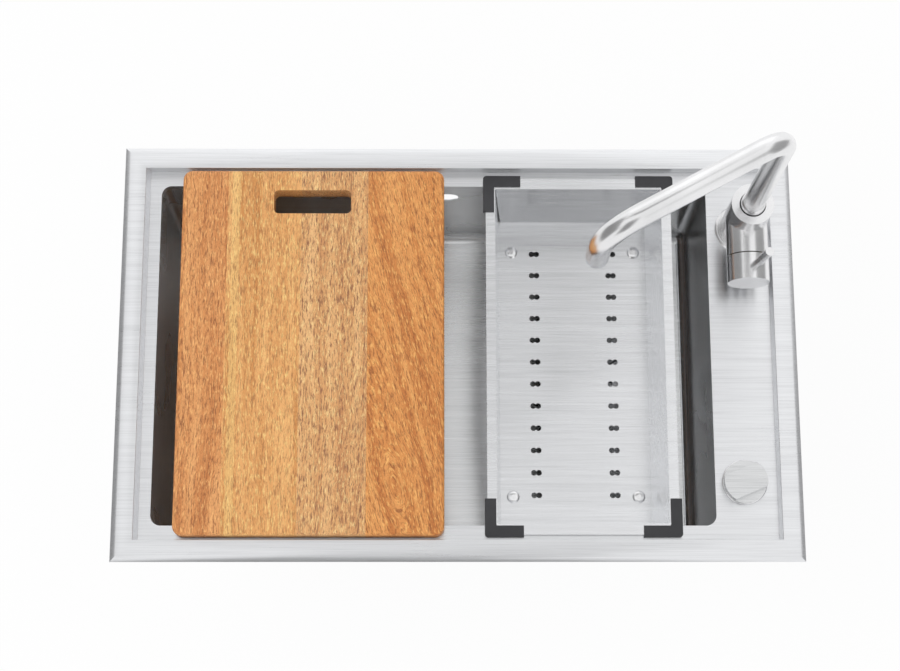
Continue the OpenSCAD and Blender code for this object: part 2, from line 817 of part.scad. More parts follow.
// Folded tray with its flange, open corners and rows of double holes
module tray_shell() {
    color(STEEL) at_tray() difference() {
        union() {
            round_block(-tray_w / 2, tray_w / 2, -tray_y, tray_y, lip_z, lip_z + tray_t, bumper_r);
            tray_block(0, tray_floor_z, lip_z + tray_t / 2);
        }
        tray_block(-tray_t, tray_floor_z + tray_t, lip_z + tray_t + EPS);
        for (n = [0 : hole_rows - 1], s = [-1, 1]) {
            y = (n - (hole_rows - 1) / 2) * hole_pitch;
            translate([s * hole_cols / 2, y, tray_floor_z - EPS]) double_hole();
        }
        for (sx = [-1, 1], sy = [-1, 1]) {
            translate([sx * rivet_x, sy * rivet_y, tray_floor_z - EPS]) cylinder(r = 2, h = tray_t + 2 * EPS);
            scale([sx, sy, 1]) corner_slit();
        }
    }
}

module double_hole() {
    for (s = [-1, 1]) {
        translate([s * hole_step / 2, 0, 0]) cylinder(r = hole_r, h = tray_t + 2 * EPS, $fn = 24);
    }
}

module at_rivets() {
    at_tray() for (sx = [-1, 1], sy = [-1, 1]) {
        translate([sx * rivet_x, sy * rivet_y, tray_floor_z]) children();
    }
}

// Domed rivets that hold the feet
module tray_rivets() {
    color(STEEL) at_rivets() union() {
        translate([0, 0, tray_t]) rotate_extrude()
            polygon([[0, 0], [rivet_r, 0], [rivet_r, 0.6], [rivet_r - 2, 2], [2.6, 2.4], [2.6, 3.4],
                [0, 3.4]]);
        translate([0, 0, -3]) cylinder(r = 2 - FLUSH, h = 3 + tray_t);
    }
}

module tray_feet() {
    color(RUBBER) at_rivets() difference() {
        translate([0, 0, -foot_h]) cylinder(r = rivet_r, h = foot_h);
        translate([0, 0, -3]) cylinder(r = 2, h = 3 + EPS);
    }
}

// L-shaped rubber corner with a slit that takes the flange; sx and sy choose the corner
module bumper(sx, sy) {
    x1 = tray_w / 2 + bumper_over;
    y1 = tray_y + bumper_over;
    w = tray_lip + bumper_over;
    r = bumper_r;
    z0 = lip_z - bumper_t;
    z1 = lip_z + tray_t + bumper_t;
    color(RUBBER) at_tray() mirror([sx < 0 ? 1 : 0, 0, 0]) mirror([0, sy < 0 ? 1 : 0, 0]) difference() {
        translate([0, 0, z0]) linear_extrude(z1 - z0) union() {
            translate([x1 - bumper_leg, y1 - w]) square([bumper_leg - r, w]);
            translate([x1 - w, y1 - bumper_leg]) square([w, bumper_leg - r]);
            translate([x1 - r, y1 - r]) circle(r);
        }
        box2(0, tray_w / 2 + FLUSH, 0, tray_y + FLUSH, lip_z - FLUSH, lip_z + tray_t + FLUSH);
        box2(0, tray_wall_x + CLEAR, 0, tray_wall_y + CLEAR, z0 - EPS, z1 + EPS);
    }
}

module tray_bumper_1() { bumper(-1, 1); }
module tray_bumper_2() { bumper(1, 1); }
module tray_bumper_3() { bumper(-1, -1); }
module tray_bumper_4() { bumper(1, -1); }

// ---------- tap ----------

// Upright body with the level valve barrel, bored for the cartridge, stem and shank
module tap_body() {
    color(SATIN) difference() {
        union() {
            at_tap() translate([0, 0, ledge_z]) cylinder(r = tap_r, h = tap_h);
            valve_cyl(tap_r, split_y, tap_y);
        }
        valve_cyl(cart_r, split_y - EPS, split_y + cart_nut_l + cart_l);
        valve_cyl(cart_nut_r, split_y - EPS, split_y + cart_nut_l);
        at_tap() {
            translate([0, 0, tap_top - top_hole_h]) cylinder(r = top_hole_r, h = top_hole_h + EPS);
            translate([0, 0, ledge_z - EPS]) cylinder(r = shank_r + FLUSH, h = 10 + EPS);
            ring(tap_r - 1.5, tap_r - 4.5, ledge_z - EPS, ledge_z + 1.5);
            for (s = [-1, 1]) {
                translate([s * inlet_off, 0, ledge_z]) cylinder(r = inlet_r + FLUSH, h = 16);
            }
        }
    }
}

// Stepped flange round the foot of the body
module tap_flange() {
    color(SATIN) at_tap() translate([0, 0, ledge_z]) rotate_extrude()
        polygon([[tap_r + FLUSH, 0], [tap_r + 5.5, 0], [tap_r + 5.5, 2], [tap_r + 3.5, 3.5],
            [tap_r + 2.2, 3.5], [tap_r + 1.4, flange_h], [tap_r + FLUSH, flange_h]]);
}

module tap_base_seal() {
    color(RUBBER) at_tap() ring(tap_r - 1.6, tap_r - 4.4, ledge_z, ledge_z + 1.4);
}

module tap_shank() {
    color([0.75, 0.65, 0.38]) at_tap() ring(shank_r, shank_in, ledge_z + 10 - shank_l, ledge_z + 10);
}

module tap_washer() {
    z1 = under_z - stiff_t;
    color(RUBBER) at_tap() ring(24, shank_r + FLUSH, z1 - 3, z1);
}

module tap_nut() {
    z1 = under_z - stiff_t - 3;
    color([0.75, 0.65, 0.38]) at_tap() difference() {
        translate([0, 0, z1 - 10]) cylinder(r = 24, h = 10, $fn = 6);
        translate([0, 0, z1 - 10 - EPS]) cylinder(r = shank_r + FLUSH, h = 10 + 2 * EPS);
    }
}

// Supply stub that hangs from the body through the shank, with a collar near its end
module inlet(s, length) {
    color([0.72, 0.45, 0.30]) at_tap() translate([s * inlet_off, 0, 0]) difference() {
        union() {
            translate([0, 0, ledge_z + 15.5 - length]) cylinder(r = inlet_r, h = length);
            translate([0, 0, ledge_z + 15.5 - length + 24]) cylinder(r = inlet_r + 0.9, h = 5);
        }
        translate([0, 0, ledge_z + 15.5 - length - EPS]) cylinder(r = inlet_r - 1.5, h = length + 2 * EPS);
    }
}

module tap_inlet_hot() { inlet(-1, inlet_l); }
module tap_inlet_cold() { inlet(1, inlet_l + 20); }

module cartridge() {
    y0 = split_y + cart_nut_l;
    color([0.85, 0.85, 0.82]) valve_cyl(cart_r - FLUSH, y0 + FLUSH, y0 + cart_l - FLUSH);
}

module cartridge_nut() {
    color([0.75, 0.65, 0.38]) difference() {
        valve_cyl(cart_nut_r - FLUSH, split_y + 1, split_y + cart_nut_l);
        valve_cyl(carrier_r + RUN, split_y - EPS, split_y + cart_nut_l + EPS);
    }
}

module swivel_bushing() {
    z0 = tap_top - top_hole_h + 1;
    color(BLACK) at_tap() ring(top_hole_r - FLUSH, stem_r + RUN, z0, z0 + bush_h);
}

// ---------- lever ----------

// Shaft in the cartridge nut, with the domed cover and the neck for the cross pin
module lever_carrier() {
    shaft = split_y + cart_nut_l - CLEAR - pivot_y;
    disc = split_y - CLEAR - pivot_y;
    disc_t = 1;
    band = 2;
    color(BLACK) leaned() difference() {
        union() {
            translate([0, pivot_y, 0]) rotate([-90, 0, 0]) rotate_extrude() {
                intersection() {
                    circle(dome_r);
                    translate([dome_r - 2.7, -band]) square([dome_r, band + disc]);
                }
                translate([0, disc - disc_t]) square([dome_r - 2.5, disc_t]);
                square_from(disc - disc_t / 2, shaft, carrier_r);
            }
            box2(-neck_w / 2, neck_w / 2, pivot_y - ear_r, pivot_y + disc - disc_t / 2, -5, 5);
        }
        translate([-neck_w, pivot_y, 0]) rotate([0, 90, 0]) cylinder(r = cross_pin_r + FLUSH, h = 2 * neck_w);
    }
}

module square_from(z0, z1, r) { translate([0, z0]) square([r, z1 - z0]); }

// Cylinder along Y in the lever's own leaned frame
module along_y(r, y0, y1) {
    translate([0, y1, 0]) rotate([90, 0, 0]) cylinder(r = r, h = y1 - y0);
}

module cross_pin() {
    half = neck_w / 2 + CLEAR + ear_w;
    color(SATIN) leaned() translate([-half, pivot_y, 0]) rotate([0, 90, 0])
        cylinder(r = cross_pin_r, h = 2 * half);
}

// Hollow cap with two ears on the cross pin; its lower back edge is cut for the tilt
module lever_cap() {
    hollow_y = cap_back - cap_hollow_l;
    color(SATIN) leaned() difference() {
        union() {
            difference() {
                along_y(tap_r, cap_front, cap_back);
                along_y(cap_hollow_r, hollow_y, cap_back + EPS);
                translate([0, pivot_y, 0]) rotate([-lever_tilt, 0, 0])
                    box2(-2 * tap_r, 2 * tap_r, cap_back - pivot_y, 3 * tap_r, -3 * tap_r, 3 * tap_r);
            }
            for (s = [-1, 1]) {
                ear(s, hollow_y);
            }
        }
        translate([0, pin_y, tap_r - 7]) cylinder(r = stud_r, h = 10);
    }
}

// Ear that joins the cap's front wall to the cross pin
module ear(s, hollow_y) {
    x0 = s > 0 ? neck_w / 2 + CLEAR : -neck_w / 2 - CLEAR - ear_w;
    difference() {
        union() {
            box2(x0, x0 + ear_w, hollow_y - EPS, pivot_y, -ear_r, ear_r);
            translate([x0, pivot_y, 0]) rotate([0, 90, 0]) cylinder(r = ear_r, h = ear_w);
        }
        translate([x0 - EPS, pivot_y, 0]) rotate([0, 90, 0])
            cylinder(r = cross_pin_r + RUN, h = ear_w + 2 * EPS);
    }
}

module lever_pin() {
    color(SATIN) leaned() union() {
        difference() {
            translate([0, pin_y, 0]) cylinder(r = pin_r, h = tap_r + pin_l);
            along_y(tap_r + FLUSH, cap_front - EPS, cap_back + EPS);
        }
        translate([0, pin_y, tap_r - 6.5]) cylinder(r = stud_r - FLUSH, h = 7.5);
    }
}

// ---------- spout ----------

module spout_collar() {
    z0 = tap_top - top_hole_h + 1.5;
    z1 = tap_top - top_hole_h + 1 + bush_h + CLEAR;
    seat = tap_top + 2;
    color(SATIN) at_tap() difference() {
        union() {
            translate([0, 0, z0]) cylinder(r = stem_r, h = z1 - z0 + EPS / 2);
            translate([0, 0, z1]) cylinder(r = collar_r, h = tap_top + 8 - z1);
            translate([0, 0, tap_top + 8]) cylinder(r1 = collar_r, r2 = pipe_r + 0.4, h = 3);
        }
        translate([0, 0, z0 - EPS]) cylinder(r = stem_r - 3, h = seat - z0 + 2 * EPS);
        translate([0, 0, seat]) cylinder(r = pipe_r + FLUSH, h = 20);
        for (z = [z0 + 5, z0 + 12]) {
            ring(stem_r + EPS, stem_r - 1, z - 0.6, z + 0.6);
        }
    }
}

module stem_orings() {
    z0 = tap_top - top_hole_h + 1.5;
    color(RUBBER) at_tap() for (z = [z0 + 5, z0 + 12]) {
        translate([0, 0, z]) rotate_extrude() translate([stem_r - 0.5, 0]) circle(0.5, $fn = 16);
    }
}

// Moves to the spout's plane: local +X is the way the spout points
module at_spout() { at_tap() rotate([0, 0, 180 + spout_turn]) children(); }

// Solid along the spout's middle line with the radius r
module spout_rod(r, extra) {
    z0 = tap_top + 2;
    at_spout() union() {
        translate([0, 0, z0 - extra]) cylinder(r = r, h = spout_z - bend_r1 - z0 + extra);
        translate([bend_r1, 0, spout_z - bend_r1]) rotate([90, 0, 0]) rotate([0, 0, 90])
            rotate_extrude(angle = 90) translate([bend_r1, 0]) circle(r);
        translate([bend_r1, 0, spout_z]) rotate([0, 90, 0]) cylinder(r = r, h = run_l);
        translate([bend_r1 + run_l, 0, spout_z - bend_r2]) rotate([90, 0, 0])
            rotate_extrude(angle = 90) translate([bend_r2, 0]) circle(r);
        translate([spout_reach(), 0, spout_z - bend_r2 - tip_l - extra]) cylinder(r = r, h = tip_l + extra);
    }
}

function spout_reach() = bend_r1 + run_l + bend_r2;

module spout_pipe() {
    color(SATIN) difference() {
        spout_rod(pipe_r, 0);
        spout_rod(pipe_r - pipe_wall, EPS);
    }
}

module at_outlet() {
    at_spout() translate([spout_reach(), 0, spout_z - bend_r2 - tip_l]) children();
}

// Bright ring screwed on to the outlet
module aerator_ring() {
    color(STEEL) at_outlet() difference() {
        union() {
            translate([0, 0, -aerator_l]) cylinder(r = pipe_r, h = aerator_l);
            cylinder(r = pipe_r - pipe_wall - FLUSH, h = 6);
        }
        translate([0, 0, -aerator_l - EPS]) cylinder(r = pipe_r - 3, h = aerator_l + 6 + 2 * EPS);
    }
}

// Screen insert inside the ring
module aerator_insert() {
    color([0.55, 0.57, 0.6]) at_outlet() difference() {
        translate([0, 0, -aerator_l + 1]) cylinder(r = pipe_r - 3 - FLUSH, h = 8);
        for (x = [-6 : 3 : 6], y = [-6 : 3 : 6]) {
            if (x * x + y * y < 50) {
                translate([x, y, -aerator_l]) cylinder(r = 0.9, h = 12, $fn = 16);
            }
        }
    }
}

// ---------- drain control ----------

// Fixed base ring
module knob_ring() {
    color(SATIN) at_knob() translate([0, 0, ledge_z]) rotate_extrude()
        polygon([[knob_bush_r + FLUSH, 0], [knob_r, 0], [knob_r, ring_h - 0.8], [knob_r - 0.8, ring_h],
            [knob_bush_r + FLUSH, ring_h]]);
}

// Turning grip: a low disc with a raised bar between two parallel flats
module knob_grip() {
    z0 = ledge_z + ring_h + CLEAR;
    color(SATIN) at_knob() rotate([0, 0, grip_turn]) difference() {
        union() {
            translate([0, 0, z0]) cylinder(r = grip_r, h = 2.2);
            intersection() {
                translate([0, 0, z0]) cylinder(r = grip_r, h = knob_h);
                box2(-knob_r, knob_r, -grip_w / 2, grip_w / 2, z0, z0 + knob_h);
            }
        }
        translate([0, 0, z0 - EPS]) cylinder(r = shaft_r + FLUSH, h = 6 + EPS);
    }
}

module knob_shaft() {
    z1 = ledge_z + ring_h + CLEAR + 5.8;
    z0 = under_z - knob_bush_l - box_h + 5;
    color([0.6, 0.6, 0.6]) at_knob() translate([0, 0, z0]) cylinder(r = shaft_r, h = z1 - z0);
}

// Threaded bushing through the deck
module knob_bushing() {
    color([0.75, 0.65, 0.38]) at_knob()
        ring(knob_bush_r, shaft_r + RUN, under_z - knob_bush_l, ledge_z + ring_h - 0.5);
}

module knob_nut() {
    color([0.75, 0.65, 0.38]) at_knob() difference() {
        translate([0, 0, under_z - 7]) cylinder(r = 17, h = 7, $fn = 6);
        translate([0, 0, under_z - 7 - EPS]) cylinder(r = knob_bush_r + FLUSH, h = 7 + 2 * EPS);
    }
}

// Housing of the cable drum, with the gland for the control cable
module knob_box() {
    z1 = under_z - knob_bush_l;
    color(BLACK) at_knob() difference() {
        union() {
            translate([0, 0, z1 - box_h]) cylinder(r = box_r, h = box_h);
            translate([-box_r - 10, 8, z1 - box_h / 2]) rotate([0, 90, 0]) cylinder(r = 5, h = 16);
        }
        translate([0, 0, z1 - box_h + 2]) cylinder(r = box_r - 2, h = box_h - 4);
        translate([0, 0, z1 - 3]) cylinder(r = shaft_r + 0.2, h = 3 + EPS);
        translate([-box_r - 10 - EPS, 8, z1 - box_h / 2]) rotate([0, 90, 0]) cylinder(r = 2, h = 22);
    }
}

// Drum on the shaft that pulls the cable
module knob_drum() {
    z1 = under_z - knob_bush_l;
    color(PLASTIC) at_knob() difference() {
        union() {
            translate([0, 0, z1 - box_h / 2 - 5]) cylinder(r = 13, h = 2);
            translate([0, 0, z1 - box_h / 2 - 5]) cylinder(r = 10, h = 10);
            translate([0, 0, z1 - box_h / 2 + 3]) cylinder(r = 13, h = 2);
        }
        translate([0, 0, z1 - box_h]) cylinder(r = shaft_r + FLUSH, h = box_h);
    }
}

rim_frame();
ledge_deck();
deck_stiffener();
bowl_walls();
overflow_panel();
bowl_floor();
damping_pads();
rim_gasket();
clip_brackets();
clip_arms();
clip_screws();
drain_body();
drain_spigot();
drain_guide();
drain_gasket();
drain_locknut();
tail_nut();
tailpipe();
drain_cable_gland();
basket_cup();
basket_seal();
basket_stem();
board_stave_1();
board_stave_2();
board_stave_3();
board_stave_4();
tray_shell();
tray_rivets();
tray_feet();
tray_bumper_1();
tray_bumper_2();
tray_bumper_3();
tray_bumper_4();
tap_body();
tap_flange();
tap_base_seal();
tap_shank();
tap_washer();
tap_nut();
tap_inlet_hot();
tap_inlet_cold();
cartridge();
cartridge_nut();
swivel_bushing();
lever_carrier();
cross_pin();
lever_cap();
lever_pin();
spout_collar();
stem_orings();
spout_pipe();
aerator_ring();
aerator_insert();
knob_ring();
knob_grip();
knob_shaft();
knob_bushing();
knob_nut();
knob_box();
knob_drum();
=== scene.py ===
"""Looks, light and camera for the workstation kitchen sink.

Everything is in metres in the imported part's own frame: X to the right, Y to the back, Z up,
with the origin at the middle of the rim where it rests on the countertop. No piece is added:
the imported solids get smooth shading, small edge rounds and materials.
"""
import math

import bpy
from mathutils import Matrix, Vector


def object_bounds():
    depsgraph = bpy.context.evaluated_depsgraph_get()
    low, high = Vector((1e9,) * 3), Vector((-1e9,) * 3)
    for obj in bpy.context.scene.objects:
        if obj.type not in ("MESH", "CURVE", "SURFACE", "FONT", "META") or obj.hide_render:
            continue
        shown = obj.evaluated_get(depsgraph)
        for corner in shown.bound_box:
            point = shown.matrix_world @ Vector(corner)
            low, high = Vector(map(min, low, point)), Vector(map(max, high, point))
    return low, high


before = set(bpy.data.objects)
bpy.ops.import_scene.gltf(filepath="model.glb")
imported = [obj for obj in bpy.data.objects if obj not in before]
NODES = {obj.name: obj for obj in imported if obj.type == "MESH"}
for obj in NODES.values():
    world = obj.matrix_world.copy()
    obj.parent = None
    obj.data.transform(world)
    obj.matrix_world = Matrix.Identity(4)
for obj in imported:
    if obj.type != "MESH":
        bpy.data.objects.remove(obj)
CAD_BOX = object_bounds()

# Camera, as fitted to the photograph's rim corners
IMAGE_W = 900
FOCAL_PX = 1890.5
SENSOR_MM = 36.0
CLIP_NEAR, CLIP_FAR = 0.05, 60.0
CAMERA_AT = (-0.03005, -0.51159, 2.16662)
PITCH = math.radians(76.262)
YAW = math.radians(2.253)
ROLL = math.radians(2.241)

# Stage
WHITE = (1.0, 1.0, 1.0, 1.0)
SKY_LIGHT = 0.80       # the world's strength on all that isn't seen or mirrored
FLOOR_HALF = 14.0
FLOOR_DROP = 0.0005    # how far the floor lies below the part
FLOOR_WHITE = 0.92     # share of plain white in the floor as it is seen; the rest takes shadow
KEY_AT, KEY_SIZE, KEY_WATTS = (-1.25, -0.45, 2.2), (1.6, 1.6), 15

# Grey cards for the reflections: name, place, point faced, size, grey, share of soft edge
CARDS = (
    ("card_over", (0.02, 0.62, 2.0), (0.02, 0.62, 0.0), (1.1, 0.5), 0.20, 0.4),
    ("card_streak", (-0.72, 0.68, 2.0), (0.23, 0.06, 0.29), (0.9, 0.22), 0.15, 0.4),
    ("card_left", (-2.3, 0.0, 1.1), (0.0, 0.0, 0.3), (4.0, 3.2), 0.30, 0.2),
    ("card_right", (2.6, 0.0, 1.1), (0.0, 0.0, 0.3), (3.4, 3.2), 0.36, 0.2),
    ("card_front", (-0.1, -2.0, 2.2), (0.0, 0.0, 0.0), (2.2, 3.4), 0.25, 0.5),
    ("card_back", (0.0, 2.6, 1.3), (0.0, 0.0, 0.2), (3.6, 2.6), 1.2, 0.3),
)

# Edges: shading turns sharp above the first angle, and rounds are cut above the second
SHARP_DEG = 28
ROUND_ABOVE = math.radians(40)
WELD = 2e-6
SHEET_EDGE = 0.0006
KNOB_EDGE = 0.0005
TAP_EDGE = 0.0004
TURNED_EDGE = 0.0003
SMALL_EDGE = 0.0002
BUMPER_EDGE = 0.0007

# Noise scales along X, Y and Z, in waves per metre
SCRATCHES_X = (12, 900, 900)
SCRATCHES_Y = (900, 12, 900)
BANDS_X = (3, 190, 190)
RINGS_Z = (6, 6, 1100)
RIBBONS = (75, 2.0, 75)
STROKES = (660, 84, 660)
PORES = (1250, 260, 1250)
# painted glints in the wood: specks of painted highlight, not a feature of the grain
PAINTED_GLINTS = (640, 110, 640)
WARPS = (((6, 2.5, 6), 0.030), ((60, 26, 60), 0.0045))    # waves, and how far they push
SCRATCH_RELIEF = 0.00012

# The swirl in stave 4
EYE_TURN = math.radians(-12)
EYE_SQUEEZE = 0.3      # lengthens the rings along the grain
EYE_REACH = 0.013      # keeps the rings open far from the eye
EYE_TILT = 0.35        # how fast the pattern changes from one side to the other

DECK_NODES = ("ledge_deck",)
STEEL_NODES = ("rim_frame", "deck_stiffener", "clip_brackets")
BOWL_NODES = ("bowl_walls", "overflow_panel")
DRAIN_NODES = ("drain_body", "drain_spigot", "drain_guide", "basket_cup")
RUBBER_NODES = ("drain_gasket", "basket_seal", "tray_feet", "tap_base_seal", "tap_washer",
                "stem_orings")
BUMPER_NODES = ("tray_bumper_1", "tray_bumper_2", "tray_bumper_3", "tray_bumper_4")
WHITE_PLASTIC_NODES = ("drain_locknut", "tail_nut", "tailpipe", "knob_drum")
BLACK_PLASTIC_NODES = ("drain_cable_gland", "knob_box", "aerator_insert", "swivel_bushing",
                       "lever_carrier")
BRASS_NODES = ("tap_shank", "tap_nut", "cartridge_nut", "knob_bushing", "knob_nut")
COPPER_NODES = ("tap_inlet_hot", "tap_inlet_cold")
ZINC_NODES = ("clip_arms", "clip_screws", "knob_shaft")
SATIN_NODES = ("spout_pipe", "lever_pin", "basket_stem", "cross_pin")
POLISHED_NODES = ("tap_body", "lever_cap", "spout_collar", "tap_flange", "knob_ring")


# ---------- colours ----------

def linear(rgb):
    """8-bit sRGB to the linear colour that a shader socket takes."""
    out = []
    for c in rgb:
        c = c / 255.0
        out.append(c / 12.92 if c <= 0.04045 else ((c + 0.055) / 1.055) ** 2.4)
    return (out[0], out[1], out[2], 1.0)


def shade(color, factor, lift=0.0):
    """A linear colour made darker or lighter, at most white."""
    return tuple(min(1.0, c * factor + lift) for c in color[:3]) + (1.0,)


class Shader:
    """A node material under construction, with short names for the nodes it uses."""

    def __init__(self, name, **sockets):
        self.mat = bpy.data.materials.new(name)
        self.mat.use_nodes = True
        self.tree = self.mat.node_tree
        self.bsdf = self.tree.nodes["Principled BSDF"]
        self.place = self.tree.nodes.new("ShaderNodeTexCoord").outputs["Object"]
        for key, value in sockets.items():
            self.bsdf.inputs[key.replace("_", " ")].default_value = value

    def node(self, kind, **settings):
        n = self.tree.nodes.new(kind)
        for key, value in settings.items():
            setattr(n, key, value)
        return n

    def link(self, a, b):
        self.tree.links.new(a, b)

    def put(self, value, socket):
        """Links an output, or sets a plain number, vector or colour."""
        if isinstance(value, bpy.types.NodeSocket):
            self.link(value, socket)
        else:
            socket.default_value = value

    def stretch(self, scale, rotation=(0.0, 0.0, 0.0), source=None):
        n = self.node("ShaderNodeMapping")
        n.inputs["Scale"].default_value = scale
        n.inputs["Rotation"].default_value = rotation
        self.link(source or self.place, n.inputs["Vector"])
        return n.outputs["Vector"]

    def noise(self, vector, detail=2.0, rough=0.5):
        n = self.node("ShaderNodeTexNoise")
        self.link(vector, n.inputs["Vector"])
        n.inputs["Scale"].default_value = 1.0
        n.inputs["Detail"].default_value = detail
        n.inputs["Roughness"].default_value = rough
        return n.outputs["Fac"]

    def ramp(self, fac, stops):
        n = self.node("ShaderNodeValToRGB")
        while len(n.color_ramp.elements) < len(stops):
            n.color_ramp.elements.new(0.5)
        for e, (at, color) in zip(n.color_ramp.elements, stops):
            e.position = at
            e.color = color if isinstance(color, tuple) else (color, color, color, 1.0)
        self.link(fac, n.inputs["Fac"])
        return n.outputs["Color"]

    def math(self, operation, a, b=0.0):
        n = self.node("ShaderNodeMath", operation=operation)
        self.put(a, n.inputs[0])
        self.put(b, n.inputs[1])
        return n.outputs["Value"]

    def weigh(self, a, share, b, other=None):
        """a times its share, plus b, which may have a share of its own."""
        if other is not None:
            b = self.math("MULTIPLY", b, other)
        return self.math("ADD", self.math("MULTIPLY", a, share), b)

    def vector(self, operation, *values):
        n = self.node("ShaderNodeVectorMath", operation=operation)
        for value, socket in zip(values, n.inputs):
            self.put(value, socket)
        return n.outputs["Vector"]

    def split(self, vector):
        n = self.node("ShaderNodeSeparateXYZ")
        self.link(vector, n.inputs[0])
        return n.outputs

    def join(self, x, y, z):
        n = self.node("ShaderNodeCombineXYZ")
        for value, socket in zip((x, y, z), n.inputs):
            self.put(value, socket)
        return n.outputs["Vector"]

    def mix(self, fac, a, b):
        n = self.node("ShaderNodeMix", data_type="RGBA")
        self.put(fac, n.inputs[0])
        self.put(a, n.inputs[6])
        self.put(b, n.inputs[7])
        return n.outputs[2]

    def range(self, value, low, high, from_low=0.0, from_high=1.0, curve="LINEAR"):
        n = self.node("ShaderNodeMapRange", interpolation_type=curve)
        self.link(value, n.inputs["Value"])
        n.inputs["From Min"].default_value = from_low
        n.inputs["From Max"].default_value = from_high
        n.inputs["To Min"].default_value = low
        n.inputs["To Max"].default_value = high
        return n.outputs["Result"]

    def bump(self, height, strength, distance):
        n = self.node("ShaderNodeBump")
        n.inputs["Strength"].default_value = strength
        n.inputs["Distance"].default_value = distance
        self.link(height, n.inputs["Height"])
        self.link(n.outputs["Normal"], self.bsdf.inputs["Normal"])

    def tangent(self, vector):
        self.link(vector, self.bsdf.inputs["Tangent"])

    def color(self, output):
        self.link(output, self.bsdf.inputs["Base Color"])

    def rough(self, output):
        self.link(output, self.bsdf.inputs["Roughness"])

    def emit(self, color):
        n = self.node("ShaderNodeEmission")
        n.inputs["Color"].default_value = color
        n.inputs["Strength"].default_value = 1.0
        return n.outputs[0]

    def layer(self, cover, under, over):
        """Ends the material in one shader laid over another."""
        n = self.node("ShaderNodeMixShader")
        self.link(cover, n.inputs[0])
        self.link(under, n.inputs[1])
        self.link(over, n.inputs[2])
        self.link(n.outputs[0], self.tree.nodes["Material Output"].inputs["Surface"])


# ---------- metals ----------

def brushed_steel(name, tone=(231, 232, 234), rough=0.29, contrast=1.0):
    """Sheet steel brushed along X: long fine scratches, broad faint clouds and smears.

    The tangent lies across the scratches, so highlights are sharp along and wide across them.
    A little Z keeps it from vanishing where the sheet faces along X."""
    s = Shader(name, Metallic=1.0, Anisotropic=0.85)
    normal = s.node("ShaderNodeNewGeometry").outputs["Normal"]
    across = s.vector("CROSS_PRODUCT", normal, (1.0, 0.0, 0.0))
    s.tangent(s.vector("ADD", across, (0.0, 0.0, 0.01)))
    scratches = s.noise(s.stretch(SCRATCHES_X), detail=3.0, rough=0.65)
    bands = s.noise(s.stretch(BANDS_X))
    clouds = s.noise(s.stretch((5, 5, 5)))
    base = linear(tone)
    dark = shade(base, 1.0 - 0.12 * contrast)
    light = shade(base, 1.0 + 0.08 * contrast)
    both = s.weigh(scratches, 0.65, bands, 0.35)
    s.color(s.ramp(both, [(0.32, dark), (0.5, base), (0.68, light)]))
    s.rough(s.math("ADD", s.weigh(both, 0.10, clouds, 0.08), rough - 0.09))
    s.bump(scratches, 0.08, SCRATCH_RELIEF)
    return s.mat


def bowl_steel(name, tone=(240, 241, 242)):
    """Wall sheet whose scratches run level on every wall."""
    s = Shader(name, Metallic=1.0, Anisotropic=0.8)
    s.tangent(s.join(0.0, 0.0, 1.0))
    normal = s.split(s.node("ShaderNodeNewGeometry").outputs["Normal"])
    along_x = s.noise(s.stretch(SCRATCHES_X), detail=3.0, rough=0.65)
    along_y = s.noise(s.stretch(SCRATCHES_Y), detail=3.0, rough=0.65)
    scratches = s.mix(s.math("ABSOLUTE", normal["X"]), along_x, along_y)
    clouds = s.noise(s.stretch((6, 6, 6)))
    base = linear(tone)
    s.color(s.ramp(scratches, [(0.34, shade(base, 0.9)), (0.5, base), (0.66, shade(base, 1.06))]))
    s.rough(s.weigh(clouds, 0.08, 0.24))
    s.bump(scratches, 0.08, SCRATCH_RELIEF)
    return s.mat


def satin_metal(name, tone=(212, 213, 215), rough=0.26, depth=0.12):
    """Turned or drawn metal with a fine even grain."""
    s = Shader(name, Metallic=1.0)
    grain = s.noise(s.stretch((1500, 1500, 1500)), rough=0.6)
    clouds = s.noise(s.stretch((14, 14, 14)), detail=3.0, rough=0.55)
    base = linear(tone)
    s.color(s.mix(s.ramp(clouds, [(0.3, 0.0), (0.7, 1.0)]), shade(base, 0.86), base))
    s.rough(s.weigh(clouds, 0.10, rough - 0.05))
    s.bump(grain, depth, 0.00008)
    return s.mat


def turned_metal(name, tone, rough):
    """Metal with lathe rings stacked along Z and a little tarnish."""
    s = Shader(name, Metallic=1.0)
    rings = s.noise(s.stretch(RINGS_Z), rough=0.6)
    tarnish = s.noise(s.stretch((60, 60, 60)), detail=4.0, rough=0.6)
    base = linear(tone)
    s.color(s.mix(s.ramp(tarnish, [(0.35, 0.0), (0.62, 1.0)]), shade(base, 0.72), base))
    s.rough(s.weigh(tarnish, 0.16, rough - 0.06))
    s.bump(rings, 0.18, 0.0001)
    return s.mat


# ---------- plastics, rubber, foam ----------

def moulded(name, tone, rough=0.45, grain=2600, depth=0.25, spread=0.18):
    """Moulded plastic or rubber with a fine texture and tone changes up to the spread."""
    s = Shader(name)
    texture = s.noise(s.stretch((grain, grain, grain)), rough=0.6)
    patches = s.noise(s.stretch((30, 30, 30)), detail=3.0, rough=0.6)
    base = linear(tone)
    low = shade(base, 1.0 - spread)
    high = shade(base, 1.0 + spread, lift=0.002)
    s.color(s.ramp(patches, [(0.3, low), (0.7, high)]))
    s.rough(s.weigh(patches, 0.2, rough - 0.1))
    s.bump(texture, depth, 0.00015)
    return s.mat


# ---------- wood ----------

